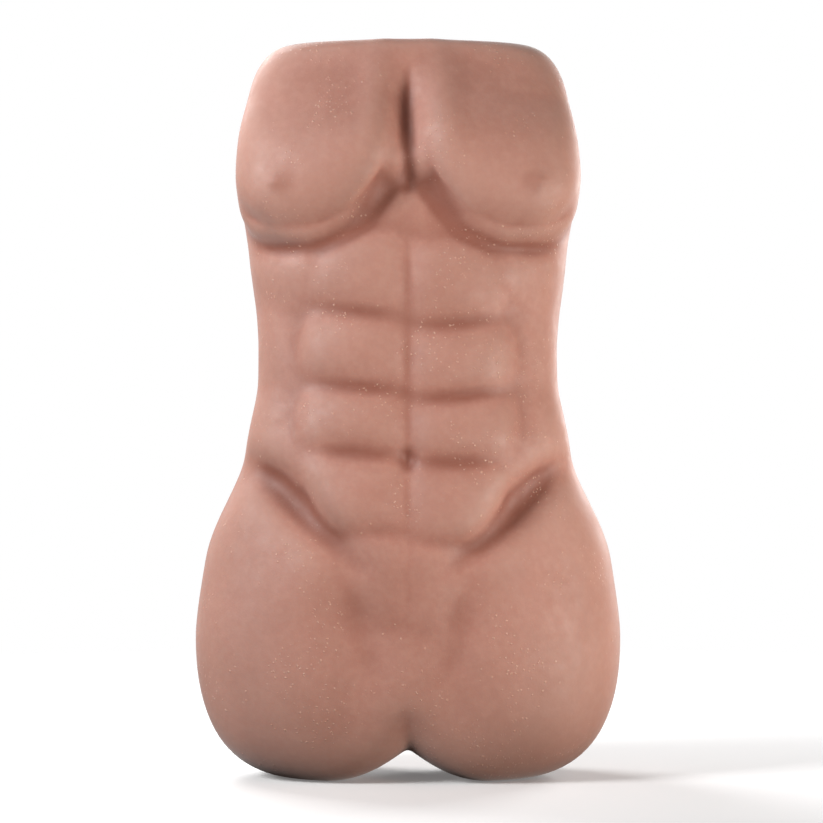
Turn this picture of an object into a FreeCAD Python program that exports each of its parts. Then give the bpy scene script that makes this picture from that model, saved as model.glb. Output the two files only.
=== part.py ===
"""Headless, limbless torso form, about half of life size, standing on its own seat.

The torso is one soft elastomer body, cast round a steel armature. The armature is a spine tube with two cross rods:
it hangs in the mould by the nut in its top end while the body is cast, and keeps the upright torso from bending. A
plug of the same elastomer closes the hole that the hanger leaves in the flat top. The pelvis is plain and smooth, as
on a shop mannequin.

Millimetres. +Z is up, the chest faces -Y, and the origin is under the middle of the body on the plane it stands on.
"""

import FreeCAD, Part
import math
import os

V = FreeCAD.Vector

# Overall size
HEIGHT = 340.0
MIDDLE_Y = -6.0              # the widest line of the sides, so that the whole body is centred on the origin
HIP_HALF_WIDTH = 99.0
SEAT_HALF_WIDTH = 45.0       # where the underside starts to curve up
TOP_HALF_WIDTH = 57.0        # where the flat top starts to curve down
BOTTOM_CORNER = 64.0         # height of the curve from the seat into the hips
TOP_CORNER = 27.0            # height of the curve from the shoulders into the flat top
BOTTOM_ROUNDNESS = 2.5
TOP_ROUNDNESS = 1.8
SQUARENESS = 2.35            # 2 is an ellipse, more is boxier
SEAT_CUT = 0.7               # depth sliced off the underside to make the two seat pads

# Outline of the body above the bottom corner: height, half width, depth to the front and depth to the back
OUTLINE = (
    (64.0, HIP_HALF_WIDTH, 43.0, 55.0),
    (102.0, 94.5, 44.0, 49.0),
    (150.0, 75.5, 40.5, 37.0),
    (185.0, 69.0, 38.0, 36.0),
    (240.0, 73.5, 40.0, 43.0),
    (277.0, 79.0, 43.0, 48.0),
    (313.0, 74.5, 38.0, 44.0),
    (HEIGHT, 67.5, 32.0, 36.0),
)

# Lower edge of the chest muscle, from the breastbone out: distance from the middle, height
PEC_EDGE = (
    (0.0, 276.0),
    (9.0, 270.0),
    (27.0, 252.0),
    (45.0, 246.5),
    (64.0, 247.5),
    (80.0, 259.0),
)

# Chest, back and seat relief
PEC_RISE = 10.5
PEC_EDGE_WIDTH = 9.0
BREASTBONE_GROOVE = 6.0
BELLY_RISE = 3.0
BELLY_HALF_WIDTH = 52.0
HIP_FOLD = 3.5               # shallow furrow from each hip bone in towards the pelvis
THIGH_RISE = 5.0
CLEFT_UNDER = 16.5           # height of the cleft between the two seat lobes
CLEFT_BACK = 17.0
CLEFT_HALF_WIDTH = 38.0
CLEFT_TOP = 132.0
GLUTE_RISE = 12.0
SPINE_GROOVE = 5.0
SHOULDER_BLADE_RISE = 4.5

# Armature, and the plug over it
TUBE_RADIUS = 8.0
TUBE_WALL = 1.5
TUBE_BOTTOM = 58.0
TUBE_TOP = 326.0
PLUG_RADIUS = 12.0
TUBE_Y = MIDDLE_Y + 1.0
ROD_RADIUS = 4.0
SHOULDER_ROD_Z = 296.0
SHOULDER_ROD_HALF = 46.0
HIP_ROD_Z = 84.0
HIP_ROD_HALF = 58.0
CAP_FLANGE = 2.0
CAP_DEPTH = 10.0
HANGER_LENGTH = 16.0
HANGER_HOLE_RADIUS = 4.25    # tapping size of the M10 hanging thread

# Net of the body's surface
POINTS_ROUND = 84
UNDERSIDE_RINGS = 6
BOTTOM_CORNER_RINGS = 12
SIDE_RINGS = 60
TOP_CORNER_RINGS = 7
INNER_RING_SHARE = 0.07      # the underside's small middle ring, hidden in the cleft


def slope_at(rows, i, column):
    """Slope of a curve that never overshoots its points."""
    if i in (0, len(rows) - 1):
        return 0.0
    before = (rows[i][column] - rows[i - 1][column]) / (rows[i][0] - rows[i - 1][0])
    after = (rows[i + 1][column] - rows[i][column]) / (rows[i + 1][0] - rows[i][0])
    if before * after <= 0:
        return 0.0
    return 2 * before * after / (before + after)


def curve_at(rows, place, column):
    """One column of a table at any place in its first column, as a smooth curve through its points."""
    place = min(max(place, rows[0][0]), rows[-1][0])
    i = max(k for k in range(len(rows) - 1) if rows[k][0] <= place)
    low, high = rows[i], rows[i + 1]
    span = high[0] - low[0]
    t = (place - low[0]) / span
    return (
        low[column] * (1 + 2 * t) * (1 - t) ** 2
        + high[column] * t * t * (3 - 2 * t)
        + slope_at(rows, i, column) * span * t * (1 - t) ** 2
        - slope_at(rows, i + 1, column) * span * t * t * (1 - t)
    )


def ease(value, start, end):
    """0 at start, 1 at end, smooth between."""
    t = min(max((value - start) / (end - start), 0.0), 1.0)
    return t * t * (3 - 2 * t)


def dome(x, z, x_mid, z_mid, x_half, z_half):
    """A smooth mound, 1 at its middle and 0 at its rim."""
    reach = ((x - x_mid) / x_half) ** 2 + ((z - z_mid) / z_half) ** 2
    return (1 - reach) ** 2 if reach < 1 else 0.0


def chest(x, z):
    """The two chest muscles: a stepped lower edge, a soft top and a groove between them."""
    edge = curve_at(PEC_EDGE, x, 1)
    rise = ease(z, edge - 4, edge + PEC_EDGE_WIDTH) * (1 - 0.85 * ease(z, edge + 14, HEIGHT - 6))
    outer = 1 - ease(x, 68, 86)
    groove = BREASTBONE_GROOVE * math.exp(-((x / 7) ** 2)) * ease(z, edge - 8, edge + 6)
    return PEC_RISE * rise * outer - groove * (1 - ease(z, 290, HEIGHT - 6))


def belly(x, z):
    """The flat plate of the abdomen, and the shallow furrows that run in from the hip bones."""
    plate = BELLY_RISE * (1 - ease(x, BELLY_HALF_WIDTH - 12, BELLY_HALF_WIDTH + 8))
    plate *= ease(z, 70, 110) * (1 - ease(z, 240, 262))
    furrow_x = 31 + (z - 108) * 0.95
    furrow = HIP_FOLD * math.exp(-(((x - furrow_x) / 9) ** 2)) * ease(z, 88, 110) * (1 - ease(z, 140, 158))
    return plate - furrow + THIGH_RISE * dome(x, z, 56, 62, 46, 66)


def back(x, z):
    """Shoulder blades, the groove of the spine, and the seat muscles."""
    blades = SHOULDER_BLADE_RISE * dome(x, z, 40, 282, 40, 58)
    groove = SPINE_GROOVE * math.exp(-((x / 11) ** 2)) * ease(z, CLEFT_TOP - 10, 175) * (1 - ease(z, 285, 325))
    return blades - groove + GLUTE_RISE * dome(x, z, 44, 64, 62, 78)


def cleft_share(x):
    """Cross-section of the cleft between the seat lobes: 1 at its bottom and 0 at its edge."""
    return max(1 - math.hypot(x, 1.5) / CLEFT_HALF_WIDTH, 0.0) ** 2


def cleft_behind(x, z):
    return CLEFT_BACK * cleft_share(x) * (1 - ease(z, 70, CLEFT_TOP))


def cleft_under(x, z):
    """How far the cleft lifts the underside. The front above it stays smooth."""
    return CLEFT_UNDER * cleft_share(x) * (1 - ease(z, 10, 42))


def rings():
    """(height, share of the full section) for each ring, from the middle of the underside to the edge of the top."""
    seat = SEAT_HALF_WIDTH / HIP_HALF_WIDTH
    shares = []
    for k in range(UNDERSIDE_RINGS):
        share = seat * (INNER_RING_SHARE + (1 - INNER_RING_SHARE) * k / UNDERSIDE_RINGS)
        shares.append((-SEAT_CUT, share))
    for k in range(BOTTOM_CORNER_RINGS):
        turn = math.radians(90) * k / BOTTOM_CORNER_RINGS
        out = math.sin(turn) ** (2 / BOTTOM_ROUNDNESS)
        up = 1 - math.cos(turn) ** (2 / BOTTOM_ROUNDNESS)
        shares.append((-SEAT_CUT + (BOTTOM_CORNER + SEAT_CUT) * up, seat + (1 - seat) * out))
    shoulder = HEIGHT - TOP_CORNER
    for k in range(SIDE_RINGS):
        shares.append((BOTTOM_CORNER + (shoulder - BOTTOM_CORNER) * k / SIDE_RINGS, 1.0))
    top = TOP_HALF_WIDTH / curve_at(OUTLINE, shoulder, 1)
    for k in range(TOP_CORNER_RINGS + 1):
        turn = math.radians(90) * k / TOP_CORNER_RINGS
        inward = 1 - math.cos(turn) ** (2 / TOP_ROUNDNESS)
        up = math.sin(turn) ** (2 / TOP_ROUNDNESS)
        shares.append((shoulder + TOP_CORNER * up, 1 - (1 - top) * inward))
    return shares


def section_point(height, share, turn):
    """A point of the plain body, before any relief: turn 0 is the middle of the back."""
    shoulder = min(height, HEIGHT - TOP_CORNER)
    half = curve_at(OUTLINE, shoulder, 1) * share
    depth = curve_at(OUTLINE, shoulder, 3 if math.cos(turn) > 0 else 2) * share
    across, along = math.sin(turn), math.cos(turn)
    reach = ((abs(across) / half) ** SQUARENESS + (abs(along) / depth) ** SQUARENESS) ** (-1 / SQUARENESS)
    return V(across * reach, MIDDLE_Y + along * reach, height)


def relief(point, normal):
    """How far the surface stands out of the plain body here."""
    x = abs(point.x)
    front = ease(-normal.y, 0.1, 0.75)
    behind = ease(normal.y, 0.1, 0.75)
    ahead = chest(x, point.z) + belly(x, point.z)
    rear = back(x, point.z) - cleft_behind(x, point.z)
    return front * ahead + behind * rear


def body_net():
    """The body's net of points, ring by ring: the plain form, pushed out or in, and lifted along the cleft."""
    plain = [
        [section_point(height, share, 2 * math.pi * k / POINTS_ROUND) for k in range(POINTS_ROUND)]
        for height, share in rings()
    ]
    net = []
    for i, ring in enumerate(plain):
        below, above = plain[max(i - 1, 0)], plain[min(i + 1, len(plain) - 1)]
        row = []
        for k, point in enumerate(ring):
            round_it = ring[(k + 1) % POINTS_ROUND] - ring[k - 1]
            normal = (above[k] - below[k]).cross(round_it)
            normal.normalize()
            lift = V(0, 0, cleft_under(abs(point.x), point.z))
            row.append(point + normal * relief(point, normal) + lift)
        net.append(row)
    level_end(net[0], CLEFT_UNDER - SEAT_CUT)
    level_end(net[-1], HEIGHT)
    return net


def level_end(row, height):
    """Puts an end ring in one plane, so that a flat face closes it."""
    for point in row:
        point.z = height


def closed_solid(net):
    """A solid inside one smooth surface, closed by a flat face at each end ring."""
    around, up = len(net[0]), len(net)
    poles = [[net[i][k] for i in range(up)] for k in range(around)]
    up_knots = list(range(up - 2))
    surface = Part.BSplineSurface()
    surface.buildFromPolesMultsKnots(
        poles,
        [1] * (around + 1),
        [4] + [1] * (len(up_knots) - 2) + [4],
        list(range(around + 1)),
        up_knots,
        True,
        False,
        3,
        3,
    )
    side = surface.toShape()
    ends = [edge for edge in side.Edges if edge.isClosed() and is_level(edge)]
    faces = [side] + [Part.Face(Part.Wire(edge)) for edge in ends]
    shell = Part.Shell(faces)
    shell.sewShape()
    solid = Part.Solid(shell)
    if solid.Volume < 0:
        solid.reverse()
    return solid


def is_level(edge):
    return edge.BoundBox.ZLength < 0.01


def upright(radius, bottom, top):
    """A cylinder on the spine tube's axis."""
    return Part.makeCylinder(radius, top - bottom, V(0, TUBE_Y, bottom))


def cross_rod(height, half_length):
    return Part.makeCylinder(ROD_RADIUS, 2 * half_length, V(-half_length, TUBE_Y, height), V(1, 0, 0))


def armature():
    """The spine tube, its cross rods, its bottom cap and the threaded hanger in its top end."""
    shoulder_rod = cross_rod(SHOULDER_ROD_Z, SHOULDER_ROD_HALF)
    hip_rod = cross_rod(HIP_ROD_Z, HIP_ROD_HALF)
    bore = TUBE_RADIUS - TUBE_WALL
    tube = upright(TUBE_RADIUS, TUBE_BOTTOM, TUBE_TOP).cut(upright(bore, TUBE_BOTTOM, TUBE_TOP))
    tube = tube.cut(shoulder_rod).cut(hip_rod)
    cap = upright(TUBE_RADIUS, TUBE_BOTTOM - CAP_FLANGE, TUBE_BOTTOM)
    cap = cap.fuse(upright(bore, TUBE_BOTTOM, TUBE_BOTTOM + CAP_DEPTH)).removeSplitter()
    hanger = upright(bore, TUBE_TOP - HANGER_LENGTH, TUBE_TOP)
    hanger = hanger.cut(upright(HANGER_HOLE_RADIUS, TUBE_TOP - HANGER_LENGTH, TUBE_TOP))
    return {
        "spine_tube": tube,
        "shoulder_rod": shoulder_rod,
        "hip_rod": hip_rod,
        "tube_bottom_cap": cap,
        "hanger_nut": hanger,
    }


def build():
    """Every piece of the torso, by name."""
    steel = armature()
    plug = upright(PLUG_RADIUS, TUBE_TOP, HEIGHT)
    reach = 2 * HIP_HALF_WIDTH
    below = Part.makeBox(2 * reach, 2 * reach, 20, V(-reach, -reach, -20))
    body = closed_solid(body_net()).cut(below).cut(plug)
    body = body.cut(upright(TUBE_RADIUS, TUBE_BOTTOM - CAP_FLANGE, TUBE_TOP))
    body = body.cut(steel["shoulder_rod"]).cut(steel["hip_rod"])
    return {"torso_body": body, "top_plug": plug, **steel}


def main():
    os.makedirs("parts", exist_ok=True)
    for name, shape in build().items():
        print(name, len(shape.Solids), shape.isValid(), round(shape.Volume / 1000, 1), "cm3")
        shape.exportStep(f"parts/{name}.step")


main()
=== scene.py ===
"""Looks of the headless torso form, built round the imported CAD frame.

The body is one closed mesh: rings of points are cast onto the CAD body, then the outside is
sculpted with muscle relief. Lengths in the sculpting code are in 340ths of the torso's height,
which are millimetres at its real size.
"""

import math

import bmesh
import bpy
import numpy as np
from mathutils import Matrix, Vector
from mathutils.bvhtree import BVHTree


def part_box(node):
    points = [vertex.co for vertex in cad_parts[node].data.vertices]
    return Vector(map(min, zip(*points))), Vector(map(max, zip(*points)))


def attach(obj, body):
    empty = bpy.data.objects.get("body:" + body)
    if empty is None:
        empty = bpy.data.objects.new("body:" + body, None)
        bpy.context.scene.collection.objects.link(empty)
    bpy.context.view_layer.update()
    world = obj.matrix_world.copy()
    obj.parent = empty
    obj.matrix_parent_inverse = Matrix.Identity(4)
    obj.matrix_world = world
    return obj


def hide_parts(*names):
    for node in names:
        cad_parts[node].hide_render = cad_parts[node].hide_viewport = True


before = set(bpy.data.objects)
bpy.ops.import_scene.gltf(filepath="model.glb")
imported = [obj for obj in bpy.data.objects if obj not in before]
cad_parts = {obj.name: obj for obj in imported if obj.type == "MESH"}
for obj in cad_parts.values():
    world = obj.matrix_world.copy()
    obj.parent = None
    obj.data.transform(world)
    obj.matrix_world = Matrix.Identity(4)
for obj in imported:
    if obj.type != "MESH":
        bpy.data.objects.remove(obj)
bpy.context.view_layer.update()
BODY_LOW, BODY_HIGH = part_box("torso_body")
PLUG_LOW, PLUG_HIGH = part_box("top_plug")

HEIGHT = BODY_HIGH.z - BODY_LOW.z
UNIT = HEIGHT / 340                     # one 340th of the height, in metres
PLUG_RADIUS = (PLUG_HIGH.x - PLUG_LOW.x) / 2
PLUG_Y = (PLUG_HIGH.y + PLUG_LOW.y) / 2

# The body's mesh
AROUND = 320                            # points in a ring
UNDER_RINGS = 46
SIDE_RINGS = 190
TOP_RINGS = 40
LOWER_CENTRE = 64 * UNIT                # where the rays fan out to the underside
UPPER_CENTRE = 313 * UNIT               # and to the flat top
SMOOTHING = 6                           # passes that even out the facets of the CAD mesh
SOFTENING = 12                          # passes that soften the muscle relief
PAINTED_SHADE_SPREAD = 40                      # smoothing passes that set how wide the painted shade in a crease spreads
PAINTED_SHADE_DEPTH = 0.78                     # and how deep a crease is where that painted shade is darkest (it also scales ridges for the painted highlight)
SEAM = 0.45 * UNIT                      # softened edge round the plug
PLUG_AROUND = 96                        # points in a ring of the plug


# ---------------------------------------------------------------- casting the CAD surface

def surface_tree(node):
    """A search tree of one CAD node's triangles."""
    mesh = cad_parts[node].data
    points = [v.co.copy() for v in mesh.vertices]
    faces = [tuple(p.vertices) for p in mesh.polygons]
    return BVHTree.FromPolygons(points, faces)


def cast(tree, centre, direction):
    """The outermost point of the surface on a ray from centre."""
    far = HEIGHT * 2
    start = centre + direction * far
    hit = tree.ray_cast(start, -direction, far)[0]
    return hit if hit is not None else centre + direction * PLUG_RADIUS


def direction_to(turn, rise):
    """A unit direction from two angles in radians: turn 0 is the back, rise 0 is level."""
    flat = math.cos(rise)
    return Vector((math.sin(turn) * flat, math.cos(turn) * flat, math.sin(rise)))


def cast_rings(tree, centres, rises):
    """One ring of points for each ray centre and rise, in metres."""
    out = np.zeros((len(centres), AROUND, 3))
    for i, (height, rise) in enumerate(zip(centres, rises)):
        centre = Vector((0, PLUG_Y, height))
        for k in range(AROUND):
            out[i, k] = cast(tree, centre, direction_to(2 * math.pi * k / AROUND, rise))
    return out


def smooth_rings(rings, times):
    """Evens out the facets of the CAD mesh, leaving the first and last ring alone."""
    rings = rings.copy()
    for _ in range(times):
        near = (np.roll(rings, 1, 1) + np.roll(rings, -1, 1))[1:-1] + rings[:-2] + rings[2:]
        rings[1:-1] = 0.5 * rings[1:-1] + 0.125 * near
    return rings


def normals_of(rings):
    """Outward normals of a stack of rings that runs from the underside to the top."""
    up = np.gradient(rings, axis=0)
    along = np.roll(rings, -1, 1) - np.roll(rings, 1, 1)
    normal = np.cross(up, along)
    return normal / np.maximum(np.linalg.norm(normal, axis=2, keepdims=True), 1e-12)


# ---------------------------------------------------------------- shapes used by the relief

def ease(value, start, end):
    """0 at start, 1 at end, smooth between."""
    t = np.clip((value - start) / (end - start), 0, 1)
    return t * t * (3 - 2 * t)


def curve(place, points, softness=8):
    """A smooth curve through a few (place, value) points, level beyond both ends."""
    places, values = zip(*points)
    fine = np.arange(min(places) - 40, max(places) + 40, 1.0)
    window = np.hanning(2 * softness + 1)
    soft = np.convolve(np.interp(fine, places, values), window / window.sum(), "same")
    return np.interp(place, fine[softness:-softness], soft[softness:-softness])


def mound(x, z, x_mid, z_mid, x_half, z_half, lean=0.0):
    """A soft round swelling, 1 at its middle and 0 at its rim. lean tilts it in degrees."""
    c, s = math.cos(math.radians(lean)), math.sin(math.radians(lean))
    across, along = (x - x_mid) * c + (z - z_mid) * s, (z - z_mid) * c - (x - x_mid) * s
    return np.clip(1 - (across / x_half) ** 2 - (along / z_half) ** 2, 0, 1) ** 1.5


def groove(distance, width):
    """A soft furrow, 1 along its line."""
    return np.exp(-((distance / width) ** 2))


def from_line(x, z, start, end):
    """Distance from a straight line between two points, and how far along it, 0 to 1."""
    dx, dz = end[0] - start[0], end[1] - start[1]
    t = np.clip(((x - start[0]) * dx + (z - start[1]) * dz) / (dx * dx + dz * dz), 0, 1)
    return np.hypot(x - start[0] - t * dx, z - start[1] - t * dz), t


def uneven(x, z, size):
    """A gentle unevenness, so that no two muscles are quite alike."""
    a = np.sin(x / size + 0.7 * np.sin(z / (1.7 * size) + 1.1))
    b = np.sin(z / (0.8 * size) + 1.3 * np.sin(x / (1.4 * size) + 2.0))
    return 0.5 * (a + b)


# ---------------------------------------------------------------- the muscles

# Lower edge of the chest muscle, from the breastbone out: distance from the middle, height
PEC_EDGE = ((0, 276), (9, 270), (27, 252), (45, 246.5), (64, 247.5), (80, 259))
# and how far up from there it turns under
PEC_UNDERSIDE = ((0, 30), (18, 36), (45, 32), (64, 22))
CAD_PEC_STEP = 10.5                     # how far the CAD chest stands out over the ribs
PEC_FULLEST = (54, 300)                 # it slopes inwards and down from here
NIPPLE = (57, 273)
NAVEL_HEIGHT = 148

# Outer edge of the straight muscle of the belly: height, distance from the middle
BELLY_EDGE = ((80, 20), (104, 36), (128, 46), (160, 51), (200, 51), (226, 45), (250, 36))

# Furrows across the belly, which part its muscle into rows: height at the middle, rise
# towards the outer edge
BELLY_FURROWS = ((252, -2), (212, 5), (180, 3), (150, 1), (116, -4), (74, -10))
ROW_HEIGHTS = (4.8, 5.4, 5.4, 4.8, 1.8)  # how far each row stands out, from the top
STAGGER = 3.5                           # the furrows on one side are this much lower than on the other

# Down the back, by height: how far out the muscle column beside the spine lies, and how wide
# the spine's furrow is
COLUMN_MIDDLE = ((120, 12), (160, 15), (200, 14), (250, 18))
SPINE_WIDTH = ((130, 10), (165, 7), (230, 6.5), (290, 11))


def pec_edge(x):
    """Height of the chest muscle's lower edge."""
    return curve(x, PEC_EDGE)


def chest(x, z):
    """The chest muscle: full above, turning under at its lower edge, and the breastbone's furrow."""
    edge = pec_edge(x)
    on_pec = ease(z, edge - 6, edge + 5.5)      # follows the step of the CAD surface
    inside = ease(x, 3, 18) * (1 - ease(x, 66, 84))
    up = np.clip((z - edge) / curve(x, PEC_UNDERSIDE), 0, 1)
    turned = 1 - (1 - up) ** 2.2
    swell = 6.5 * turned * (1 - ease(z, edge + 36, edge + 84)) * inside
    cut = CAD_PEC_STEP * on_pec * (1 - turned) * ease(x, 2, 12) * (1 - ease(x, 66, 84))
    inwards = 0.65 * (PEC_FULLEST[0] - x) + 0.75 * (PEC_FULLEST[1] - z)
    slope = 3.6 * (np.clip(inwards, 0, 60) / 50) ** 1.8 * turned * ease(x, 0, 12)
    crease = 0.8 * groove(z - (edge - 3), 3.5) * (1 - ease(x, 58, 78))
    breastbone = 3.0 * groove(x, 2.6) * ease(z, 262, 284) * (1 - ease(z, 310, 336))
    collar = 1.6 * mound(x, z, 34, 330, 34, 18)
    return swell - cut - slope - crease - breastbone - collar


def nipple(x, z):
    """A low disc with a small bud on it."""
    away = np.hypot(x - NIPPLE[0], z - NIPPLE[1])
    return 0.4 * (1 - ease(away, 4.5, 8)) + 1.4 * (1 - ease(away, 0.6, 3.6))


def belly_rows(side, z):
    """The rows of the belly's straight muscle: soft domes between the furrows."""
    x = np.abs(side)
    z_side = z + STAGGER * ease(side, -8, 8) + 1.4 * uneven(side, z, 17)
    bend = (x / 50) ** 1.5
    height = np.zeros_like(x)
    for (top, top_rise), (low, low_rise), rise in zip(BELLY_FURROWS, BELLY_FURROWS[1:], ROW_HEIGHTS):
        top_line, low_line = top + top_rise * bend, low + low_rise * bend
        up = (z_side - (top_line + low_line) / 2) / ((top_line - low_line) / 2)
        outer = curve(z, BELLY_EDGE) - 4 * np.clip(np.abs(up), 0, 1) ** 4
        across = (x - outer / 2 + 1.5) / (outer / 2 + 1.5)
        dome = np.clip(1 - np.abs(across) ** 2.2, 0, 1) * np.clip(1 - np.abs(up) ** 2.2, 0, 1)
        height = np.maximum(height, rise * dome ** 0.85)
    return height


def belly(side, z):
    """The belly's rows, the line down its middle and the navel."""
    x = np.abs(side)
    outer_line = 0.9 * groove(x - curve(z, BELLY_EDGE), 8) * ease(z, 112, 140) * (1 - ease(z, 214, 240))
    middle = side - 0.8 * uneven(z, z, 23)
    middle_line = 1.0 * groove(middle, 6.5) * ease(z, 134, 162) * (1 - ease(z, 240, 262))
    away = np.hypot(x / 3.3, (z - NAVEL_HEIGHT) / 4.2)
    navel = 3.4 * np.exp(-(away ** 2.4)) + 0.9 * groove(away, 2.6)
    return belly_rows(side, z) - outer_line - middle_line - navel


def flank(x, z):
    """The rib cage's lower edge, the slips of muscle over the ribs, and the waist's side muscle."""
    ribs = 2.6 * mound(x, z, 56, 234, 26, 20, 20)
    side = 2.6 * mound(x, z, 66, 178, 22, 46, 4)
    over_hip = 2.4 * mound(x, z, 60, 156, 34, 24, 30)
    slips = np.zeros_like(x)
    for i in range(4):
        away, along = from_line(x, z, (60 + 2 * i, 236 - 13 * i), (80 + 1 * i, 250 - 13 * i))
        slips = slips + 0.5 * groove(away, 3.6) * ease(along, 0, 0.4)
    return ribs + side + over_hip - slips


def hip_line(x, z):
    """The furrow that runs from the hip bone in and down, shallower towards its inner end."""
    away, along = from_line(x, z, (76, 152), (27, 103))
    depth = 4.0 * ease(along, 0, 0.3) * (1 - 0.85 * ease(along, 0.5, 1))
    return depth * groove(away, 7 + 4 * along)


def pelvis(x, z):
    """A plain, smooth mannequin pelvis, with a shallow fold where each thigh would start."""
    fold, along = from_line(x, z, (29, 92), (12, 36))
    plain = 2.0 * mound(x, z, 0, 70, 30, 48)
    return plain - 1.4 * groove(fold, 8) * ease(along, 0, 0.35) * (1 - ease(along, 0.6, 1))


def back(x, z):
    """Shoulder blades, the broad side muscles, the two columns beside the spine, and the top of the seat."""
    blade = 4.2 * mound(x, z, 43, 286, 29, 38, -16)
    blade_edge, along = from_line(x, z, (21, 310), (40, 250))
    edge_line = 1.8 * groove(blade_edge, 8) * ease(along, 0, 0.3) * (1 - ease(along, 0.7, 1))
    below_blade, along = from_line(x, z, (36, 248), (68, 256))
    under_line = 0.9 * groove(below_blade, 10) * ease(along, 0, 0.3) * (1 - ease(along, 0.7, 1))
    side = 4.0 * mound(x, z, 56, 226, 25, 52, -14)
    column_x = curve(z, COLUMN_MIDDLE)
    column = 4.2 * groove(x - column_x, 9.5) * ease(z, 118, 160) * (1 - ease(z, 212, 268))
    spine_width = curve(z, SPINE_WIDTH)
    spine = 2.2 * groove(x, spine_width) * ease(z, 128, 172) * (1 - 0.8 * ease(z, 270, 326))
    dimple = 1.7 * groove(np.hypot(x - 24, z - 133), 8)
    seat_top, along = from_line(x, z, (22, 120), (80, 142))
    shelf = 2.2 * groove(seat_top, 9) * (1 - ease(along, 0.6, 1))
    sacrum = 1.4 * mound(x, z, 0, 128, 20, 20)
    return blade - edge_line - under_line + side + column - spine - dimple - shelf + sacrum


def seat_cleft(x, z):
    """Sharpens the bottom of the CAD cleft behind."""
    return 2.6 * groove(x, 3.2) * (1 - ease(z, 92, 128)) * ease(z, 14, 34)


def relief(points, normals):
    """How far each point of the outside moves along its normal, in 340ths of the height."""
    side, z = points[..., 0], points[..., 2]
    x = np.abs(side)
    front = ease(-normals[..., 1], -0.05, 0.5)
    behind = ease(normals[..., 1], -0.05, 0.5)
    above_seat = 1 - ease(-normals[..., 2], 0.3, 0.8)
    ahead = chest(x, z) + belly(side, z) + flank(x, z) - hip_line(x, z) + pelvis(x, z)
    moved = front * above_seat * ahead + behind * (back(x, z) - seat_cleft(x, z))
    moved = moved + 0.35 * uneven(side, z, 11) * above_seat * (1 - ease(z, 318, 334))
    return smooth_rings(moved[..., None], SOFTENING)[..., 0] + front * nipple(x, z)


def hang(points, normals):
    """How far the lower edge of the chest muscle hangs down over the belly."""
    x, z = np.abs(points[..., 0]), points[..., 2]
    edge = pec_edge(x)
    lip = ease(z, edge - 4, edge + 6) * (1 - ease(z, edge + 10, edge + 32))
    return 1.6 * lip * ease(-normals[..., 1], 0.1, 0.6) * ease(x, 4, 30) * (1 - ease(x, 56, 76))


# ---------------------------------------------------------------- the body

def outside_rings():
    """Rings over the whole outside, from the middle of the underside to the rim of the plug's hole."""
    tree = surface_tree("torso_body")
    quarter = math.pi / 2
    rises = [-quarter * (1 - (k + 1) / UNDER_RINGS) for k in range(UNDER_RINGS)]
    centres = [LOWER_CENTRE] * UNDER_RINGS
    for k in range(1, SIDE_RINGS):
        centres.append(LOWER_CENTRE + (UPPER_CENTRE - LOWER_CENTRE) * k / SIDE_RINGS)
        rises.append(0.0)
    steepest = math.atan2(BODY_HIGH.z - UPPER_CENTRE, PLUG_RADIUS + 3 * SEAM)
    for k in range(TOP_RINGS):
        centres.append(UPPER_CENTRE)
        rises.append(steepest * k / (TOP_RINGS - 1))
    return cast_rings(tree, centres, rises)


def hole_rings():
    """The softened rim of the plug's hole, and its wall."""
    turns = 2 * np.pi * np.arange(AROUND) / AROUND
    circle = np.stack([np.sin(turns), np.cos(turns), np.zeros(AROUND)], 1)
    out = []
    for radius, height in (
        (PLUG_RADIUS + SEAM, BODY_HIGH.z),
        (PLUG_RADIUS + SEAM / 3, BODY_HIGH.z - SEAM / 3),
        (PLUG_RADIUS, BODY_HIGH.z - SEAM),
        (PLUG_RADIUS, PLUG_LOW.z),
    ):
        out.append(circle * radius + np.array([0, PLUG_Y, height]))
    return np.stack(out)


def inside_box(point, box, slack):
    low, high = box
    return all(low[k] - slack <= point[k] <= high[k] + slack for k in range(3))


def add_armature_space(bm):
    """Adds the CAD body's inner walls, which fit the armature, and joins them to the hole's wall."""
    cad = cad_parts["torso_body"].data
    boxes = [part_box(node) for node in ("spine_tube", "tube_bottom_cap", "shoulder_rod", "hip_rod")]
    slack = 0.05 * UNIT
    inner = [any(inside_box(v.co, box, slack) for box in boxes) for v in cad.vertices]
    made = {}
    for polygon in cad.polygons:
        if all(inner[i] for i in polygon.vertices):
            for i in polygon.vertices:
                if i not in made:
                    made[i] = bm.verts.new(cad.vertices[i].co)
            bm.faces.new([made[i] for i in polygon.vertices])
    walls = list(made.values())
    bmesh.ops.remove_doubles(bm, verts=walls, dist=0.001 * UNIT)
    open_edges = [e for e in bm.edges if e.is_boundary]
    bmesh.ops.bridge_loops(bm, edges=open_edges)


def painted_shade_and_highlight_of(rings, normals):
    """How concave the surface is at each point, for the material's painted shade in creases and painted
    highlight on ridges: 1 deep in a crease, -1 on a ridge.
    """
    spread = smooth_rings(rings, PAINTED_SHADE_SPREAD)
    depth = np.sum((spread - rings) * normals, axis=2) / UNIT
    return np.clip(depth / PAINTED_SHADE_DEPTH, -1, 1)


def ring_faces(count, around):
    """Quads between a stack of rings, and a fan of triangles to the point at each end."""
    faces = []
    start, finish, last = count * around, count * around + 1, (count - 1) * around
    for k in range(around):
        after = (k + 1) % around
        for i in range(count - 1):
            low, high = i * around, (i + 1) * around
            faces.append((low + after, low + k, high + k, high + after))
        faces.append((start, k, after))
        faces.append((finish, last + after, last + k))
    return faces


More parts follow.
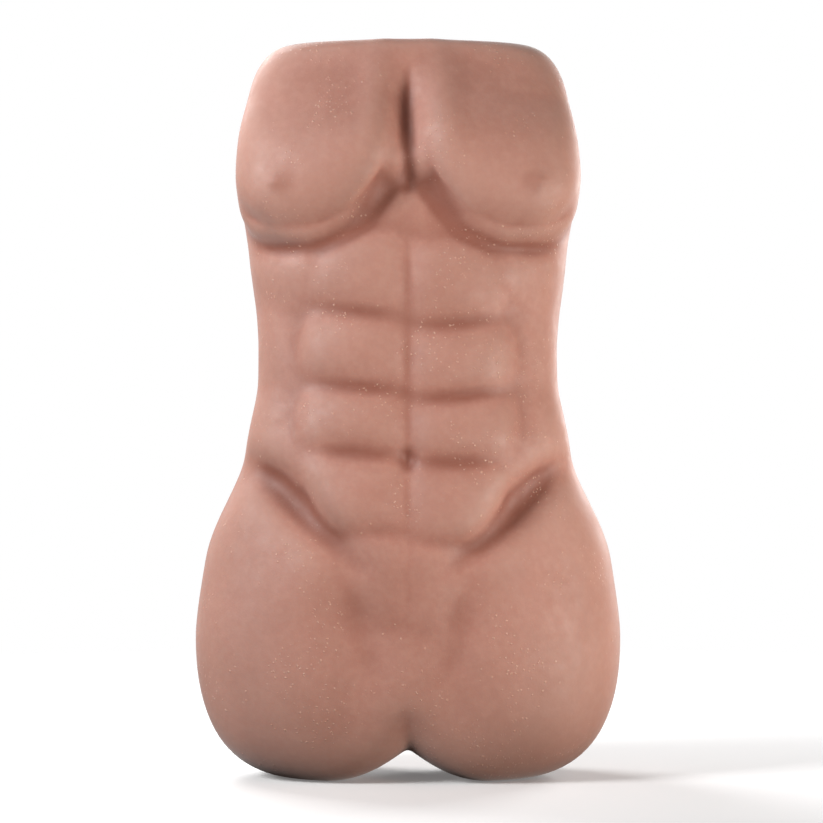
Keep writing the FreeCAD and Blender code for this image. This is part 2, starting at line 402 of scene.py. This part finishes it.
def mesh_from_rings(name, rings, closed_end=True):
    """A mesh from a stack of rings. A point closes the first ring, and the last if closed_end."""
    count, around = rings.shape[:2]
    ends = np.array([rings[0].mean(0), rings[-1].mean(0)])
    points = np.concatenate([rings.reshape(-1, 3), ends])
    faces = ring_faces(count, around)
    if not closed_end:
        points = points[:-1]
        faces = [face for face in faces if count * around + 1 not in face]
    mesh = bpy.data.meshes.new(name)
    mesh.from_pydata(points.tolist(), [], faces)
    return mesh


def point_attribute(mesh, name, values):
    attribute = mesh.attributes.new(name, "FLOAT", "POINT")
    attribute.data.foreach_set("value", values.astype(np.float32))


def place(mesh, node, slot):
    """Puts a finished mesh in the scene, in place of one CAD node."""
    mesh.polygons.foreach_set("use_smooth", [True] * len(mesh.polygons))
    mesh.update()
    piece = bpy.data.objects.new(mesh.name, mesh)
    bpy.context.scene.collection.objects.link(piece)
    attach(piece, "root")
    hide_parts(node)
    return piece


def sculpted_outside():
    outside = smooth_rings(outside_rings(), SMOOTHING)
    normals = normals_of(outside)
    outside = outside + normals * (relief(outside / UNIT, normals) * UNIT)[..., None]
    outside[..., 2] -= hang(outside / UNIT, normals) * UNIT
    outside = smooth_rings(outside, 2)
    outside[..., 2] = np.clip(outside[..., 2], BODY_LOW.z, BODY_HIGH.z)
    return outside


def build_body():
    outside = sculpted_outside()
    # mask for the painted shade in creases and the painted highlight on ridges
    painted_shade_and_highlight = painted_shade_and_highlight_of(outside, normals_of(outside))
    rings = np.concatenate([outside, hole_rings()])
    mesh = mesh_from_rings("torso_body_sculpted", rings, closed_end=False)
    bm = bmesh.new()
    bm.from_mesh(mesh)
    add_armature_space(bm)
    bm.to_mesh(mesh)
    bm.free()

    unseen = np.zeros(len(mesh.vertices) - painted_shade_and_highlight.size)
    # stores the mask of painted shade and painted highlight for the material
    point_attribute(mesh, "painted_shade_and_highlight", np.concatenate([painted_shade_and_highlight.ravel(), unseen]))
    x, z = np.abs(outside[..., 0]) / UNIT, outside[..., 2] / UNIT
    areola = (1 - ease(np.hypot(x - NIPPLE[0], z - NIPPLE[1]), 2.5, 8)) * (outside[..., 1] < 0)
    point_attribute(mesh, "areola", np.concatenate([areola.ravel(), unseen]))
    return place(mesh, "torso_body", "body_elastomer")


def build_plug():
    """The plug in the flat top, slightly sunk in its middle where it shrank as it cooled."""
    rim = PLUG_RADIUS - 0.15 * UNIT
    profile = (
        (1.0, PLUG_LOW.z),
        (1.0, PLUG_HIGH.z - 0.9 * UNIT),
        (0.985, PLUG_HIGH.z - 0.3 * UNIT),
        (0.94, PLUG_HIGH.z - 0.08 * UNIT),
        (0.85, PLUG_HIGH.z - 0.1 * UNIT),
        (0.6, PLUG_HIGH.z - 0.45 * UNIT),
        (0.3, PLUG_HIGH.z - 0.8 * UNIT),
    )
    turns = 2 * np.pi * np.arange(PLUG_AROUND) / PLUG_AROUND
    rings = []
    for share, height in profile:
        x, y = np.sin(turns) * rim * share, PLUG_Y + np.cos(turns) * rim * share
        rings.append(np.stack([x, y, np.full(PLUG_AROUND, height)], 1))
    return place(mesh_from_rings("top_plug_moulded", np.stack(rings)), "top_plug", "plug_elastomer")


# ---------------------------------------------------------------- materials

# Linear colours
BODY_TONE = (0.44, 0.205, 0.155)
PLUG_TONE = (0.42, 0.195, 0.145)
BLOTCH = (0.38, 0.13, 0.08)
PALE_GRAIN = (0.58, 0.33, 0.25)
DARK_PATCH = (0.25, 0.085, 0.05)
# Painted highlight: the colour that ridges are paled towards
PAINTED_RIDGE_HIGHLIGHT = (0.50, 0.29, 0.23)
# Painted shade: the colour that creases are darkened and reddened towards
PAINTED_CREASE_SHADE = (0.20, 0.045, 0.02)
AREOLA = (0.27, 0.08, 0.045)
SPECK = (0.72, 0.43, 0.31)
STEEL_MARKS = [(0.3, (0.42, 0.43, 0.45)), (0.7, (0.60, 0.61, 0.63))]
BLACK_MARKS = [(0.3, (0.012, 0.012, 0.013)), (0.7, (0.028, 0.028, 0.03))]

SPECK_BEND = 0.0012                     # how far specks are pulled out of round, in metres


class Nodes:
    """Short helpers to write one material's node tree."""

    def __init__(self, name):
        self.material = bpy.data.materials.new(name)
        self.material.use_nodes = True
        self.tree = self.material.node_tree
        self.shader = self.tree.nodes["Principled BSDF"]

    def node(self, kind, **values):
        made = self.tree.nodes.new(kind)
        for key, value in values.items():
            setattr(made, key, value)
        return made

    def link(self, source, target):
        self.tree.links.new(source, target)

    def coordinates(self):
        return self.node("ShaderNodeTexCoord").outputs["Object"]

    def noise(self, scale, detail=3.0, roughness=0.5):
        made = self.node("ShaderNodeTexNoise")
        made.inputs["Scale"].default_value = scale
        made.inputs["Detail"].default_value = detail
        made.inputs["Roughness"].default_value = roughness
        self.link(self.coordinates(), made.inputs["Vector"])
        return made.outputs["Fac"]

    def ramp(self, source, stops):
        """A colour ramp with two stops."""
        made = self.node("ShaderNodeValToRGB")
        for element, (place, colour) in zip(made.color_ramp.elements, stops):
            element.position = place
            element.color = (*colour, 1)
        self.link(source, made.inputs["Fac"])
        return made.outputs["Color"]

    def scaled(self, source, low, high, to_low, to_high):
        made = self.node("ShaderNodeMapRange")
        for key, value in (("From Min", low), ("From Max", high), ("To Min", to_low), ("To Max", to_high)):
            made.inputs[key].default_value = value
        self.link(source, made.inputs["Value"])
        return made.outputs["Result"]

    def mix(self, share, base, colour):
        """A share of one plain colour over base. Sockets 6, 7 and 2 are the colour ones."""
        made = self.node("ShaderNodeMix", data_type="RGBA")
        self.link(share, made.inputs[0])
        self.link(base, made.inputs[6])
        made.inputs[7].default_value = (*colour, 1)
        return made.outputs[2]

    def math(self, operation, first, second):
        """Sums on a socket and either a second socket or a number."""
        made = self.node("ShaderNodeMath", operation=operation)
        self.link(first, made.inputs[0])
        if isinstance(second, bpy.types.NodeSocket):
            self.link(second, made.inputs[1])
        else:
            made.inputs[1].default_value = second
        return made.outputs[0]

    def beads(self, scale, size, cluster_scale, cluster_level):
        """Small round specks that gather in clusters, pulled a little out of round."""
        bend = self.node("ShaderNodeVectorMath", operation="SCALE")
        bend.inputs["Scale"].default_value = SPECK_BEND
        wobble = self.node("ShaderNodeTexNoise")
        wobble.inputs["Scale"].default_value = scale * 2.2
        self.link(self.coordinates(), wobble.inputs["Vector"])
        self.link(wobble.outputs["Color"], bend.inputs[0])
        moved = self.node("ShaderNodeVectorMath", operation="ADD")
        self.link(self.coordinates(), moved.inputs[0])
        self.link(bend.outputs["Vector"], moved.inputs[1])
        cells = self.node("ShaderNodeTexVoronoi")
        cells.inputs["Scale"].default_value = scale
        self.link(moved.outputs["Vector"], cells.inputs["Vector"])
        bead = self.scaled(cells.outputs["Distance"], 0.4 * size, size, 1.0, 0.0)
        crowd = self.noise(cluster_scale, 2, 0.5)
        cluster = self.scaled(crowd, cluster_level, cluster_level + 0.08, 0.0, 1.0)
        return self.math("MULTIPLY", bead, cluster)

    def attribute(self, name):
        return self.node("ShaderNodeAttribute", attribute_name=name).outputs["Fac"]

    def bump(self, height, distance, strength, after=None):
        made = self.node("ShaderNodeBump")
        made.inputs["Distance"].default_value = distance
        made.inputs["Strength"].default_value = strength
        self.link(height, made.inputs["Height"])
        if after is not None:
            self.link(after, made.inputs["Normal"])
        return made.outputs["Normal"]


def elastomer_material(name, tone):
    """Soft flesh-toned elastomer: mottled, with painted shade that makes its creases darker and redder and a
    painted highlight that makes its ridges paler, with fine pores and light specks.
    """
    n = Nodes(name)
    broad = n.noise(9, 4, 0.55)
    blotch = n.noise(38, 3, 0.6)
    fine = n.noise(260, 2, 0.6)
    base = n.ramp(broad, [(0.3, [c * s for c, s in zip(tone, (0.95, 0.88, 0.86))]), (0.7, tone)])
    base = n.mix(n.scaled(blotch, 0.35, 0.7, 0.0, 0.16), base, BLOTCH)
    base = n.mix(n.scaled(fine, 0.4, 0.65, 0.0, 0.16), base, PALE_GRAIN)
    base = n.mix(n.scaled(n.noise(22, 5, 0.65), 0.42, 0.68, 0.0, 0.30), base, DARK_PATCH)
    # Painted highlight: ridges made paler, as if they catch the light
    base = n.mix(n.scaled(n.attribute("painted_shade_and_highlight"), 0.0, -0.8, 0.0, 0.35), base, PAINTED_RIDGE_HIGHLIGHT)
    # Painted shade: creases made darker and redder, the deeper the crease
    base = n.mix(n.scaled(n.attribute("painted_shade_and_highlight"), 0.0, 1.0, 0.0, 0.75), base, PAINTED_CREASE_SHADE)
    base = n.mix(n.scaled(n.attribute("areola"), 0.0, 1.0, 0.0, 0.4), base, AREOLA)

    bead = n.math("MAXIMUM", n.beads(240, 0.17, 55, 0.56), n.beads(430, 0.24, 34, 0.53))
    base = n.mix(n.math("MULTIPLY", bead, 0.5), base, SPECK)
    n.link(base, n.shader.inputs["Base Color"])

    rough = n.scaled(n.noise(120, 3, 0.6), 0.3, 0.7, 0.56, 0.70)
    rough = n.math("SUBTRACT", rough, n.math("MULTIPLY", bead, 0.22))
    n.link(rough, n.shader.inputs["Roughness"])

    pores = n.bump(n.noise(900, 3, 0.65), 0.00012, 0.5)
    ripple = n.bump(n.noise(150, 3, 0.55), 0.0004, 0.35, pores)
    n.link(n.bump(bead, 0.0003, 0.6, ripple), n.shader.inputs["Normal"])

    n.shader.inputs["IOR"].default_value = 1.45
    n.shader.inputs["Specular IOR Level"].default_value = 0.7
    n.shader.inputs["Subsurface Weight"].default_value = 0.15
    n.shader.inputs["Subsurface Radius"].default_value = (1.0, 0.38, 0.22)
    n.shader.inputs["Subsurface Scale"].default_value = 0.003
    n.shader.inputs["Sheen Weight"].default_value = 0.3
    n.shader.inputs["Sheen Roughness"].default_value = 0.5
    return n.material


def steel_material():
    """Bright steel with fine level marks."""
    n = Nodes("bright_steel")
    stretch = n.node("ShaderNodeMapping")
    stretch.inputs["Scale"].default_value = (60, 60, 900)
    n.link(n.coordinates(), stretch.inputs["Vector"])
    marks = n.node("ShaderNodeTexNoise")
    n.link(stretch.outputs["Vector"], marks.inputs["Vector"])
    n.link(n.ramp(marks.outputs["Fac"], STEEL_MARKS), n.shader.inputs["Base Color"])
    n.link(n.scaled(marks.outputs["Fac"], 0.3, 0.7, 0.26, 0.42), n.shader.inputs["Roughness"])
    n.shader.inputs["Metallic"].default_value = 1.0
    return n.material


def cap_material():
    """Dull black plastic."""
    n = Nodes("black_plastic")
    n.link(n.ramp(n.noise(80), BLACK_MARKS), n.shader.inputs["Base Color"])
    n.link(n.bump(n.noise(1200), 0.0001, 0.5), n.shader.inputs["Normal"])
    n.shader.inputs["Roughness"].default_value = 0.6
    return n.material


def give(piece, material):
    """Puts one material in every slot of a piece."""
    if not piece.data.materials:
        piece.data.materials.append(material)
    for slot in piece.material_slots:
        slot.material = material


# ---------------------------------------------------------------- studio

AMBIENT = 0.05                          # strength of the light from all round

# Name, place in torso heights from its middle, width and height in torso heights, power in
# watts, colour
LIGHTS = (
    ("key", (-2.5, -1.5, 1.2), (1.2, 1.2), 14, (1, 1, 1)),
    ("fill", (2.3, -1.5, -0.5), (1.0, 0.35), 9.8, (1, 0.94, 0.87)),
    ("back_left", (-1.5, 2.0, 2.1), (1.6, 1.6), 10, (1, 1, 1)),
    ("back_right", (2.2, 2.4, 0.7), (1.4, 1.4), 9, (1, 1, 1)),
)

FLOOR_REACH = 6                         # half the floor's width, in torso heights
FLOOR_FADE = (0.7, 2.2)                 # where it starts to fade and is gone, in torso heights
FLOOR_GAP = 0.0002                      # how far it lies under the seat, in metres
CAMERA_ASIDE = 0.005                    # the camera's place, in torso heights
CAMERA_AWAY = 3.78
CAMERA_UP = 0.48
CAMERA_LENS = 120                       # millimetres
CAMERA_SENSOR = 36


def studio_world():
    """Soft light from all round, dimmer than the white that the camera sees behind the object."""
    world = bpy.data.worlds.new("studio")
    world.use_nodes = True
    tree = world.node_tree
    background = tree.nodes["Background"]
    background.inputs["Color"].default_value = (1, 1, 1, 1)
    seen = tree.nodes.new("ShaderNodeLightPath").outputs["Is Camera Ray"]
    strength = tree.nodes.new("ShaderNodeMapRange")
    strength.inputs["To Min"].default_value = AMBIENT
    strength.inputs["To Max"].default_value = 1.0
    tree.links.new(seen, strength.inputs["Value"])
    tree.links.new(strength.outputs["Result"], background.inputs["Strength"])
    bpy.context.scene.world = world
    bpy.context.scene.view_settings.view_transform = "Standard"


def studio_floor():
    """A pale floor that fades into the white round it."""
    mesh = bpy.data.meshes.new("floor")
    reach = FLOOR_REACH * HEIGHT
    corners = [(-reach, -reach, 0), (reach, -reach, 0), (reach, reach, 0), (-reach, reach, 0)]
    mesh.from_pydata(corners, [], [(0, 1, 2, 3)])
    floor = bpy.data.objects.new("floor", mesh)
    floor.location.z = BODY_LOW.z - FLOOR_GAP
    bpy.context.scene.collection.objects.link(floor)

    n = Nodes("pale_floor")
    n.shader.inputs["Base Color"].default_value = (0.85, 0.85, 0.85, 1)
    n.shader.inputs["Emission Color"].default_value = (1, 1, 1, 1)
    n.shader.inputs["Emission Strength"].default_value = 0.15
    n.shader.inputs["Roughness"].default_value = 0.9
    away = n.node("ShaderNodeVectorMath", operation="LENGTH")
    n.link(n.coordinates(), away.inputs[0])
    start, gone = FLOOR_FADE
    fade = n.scaled(away.outputs["Value"], start * HEIGHT, gone * HEIGHT, 1.0, 0.0)
    n.link(fade, n.shader.inputs["Alpha"])
    give(floor, n.material)
    floor.visible_diffuse = False
    floor.visible_glossy = False


def studio_lights():
    target = Vector((0, 0, HEIGHT * 0.5))
    for name, where, (width, height), power, colour in LIGHTS:
        light = bpy.data.lights.new(name, "AREA")
        light.energy = power
        light.color = colour
        light.shape = "RECTANGLE"
        light.size = width * HEIGHT
        light.size_y = height * HEIGHT
        lamp = bpy.data.objects.new(name, light)
        lamp.location = Vector(where) * HEIGHT + target
        lamp.visible_camera = False
        lamp.rotation_euler = (target - lamp.location).to_track_quat("-Z", "Y").to_euler()
        bpy.context.scene.collection.objects.link(lamp)


def camera():
    """Straight at the chest, from the front."""
    data = bpy.data.cameras.new("camera")
    data.lens = CAMERA_LENS
    data.sensor_width = CAMERA_SENSOR
    cam = bpy.data.objects.new("camera", data)
    cam.location = (CAMERA_ASIDE * HEIGHT, -CAMERA_AWAY * HEIGHT, CAMERA_UP * HEIGHT)
    aim = Vector((CAMERA_ASIDE * HEIGHT, 0, 0.5 * HEIGHT))
    cam.rotation_euler = (aim - cam.location).to_track_quat("-Z", "Y").to_euler()
    bpy.context.scene.collection.objects.link(cam)
    bpy.context.scene.camera = cam


def main():
    camera()
    give(build_body(), elastomer_material("flesh_elastomer", BODY_TONE))
    give(build_plug(), elastomer_material("plug_elastomer", PLUG_TONE))
    steel = steel_material()
    for node in ("spine_tube", "shoulder_rod", "hip_rod", "hanger_nut"):
        give(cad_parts[node], steel)
    give(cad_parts["tube_bottom_cap"], cap_material())
    studio_world()
    studio_floor()
    studio_lights()


main()
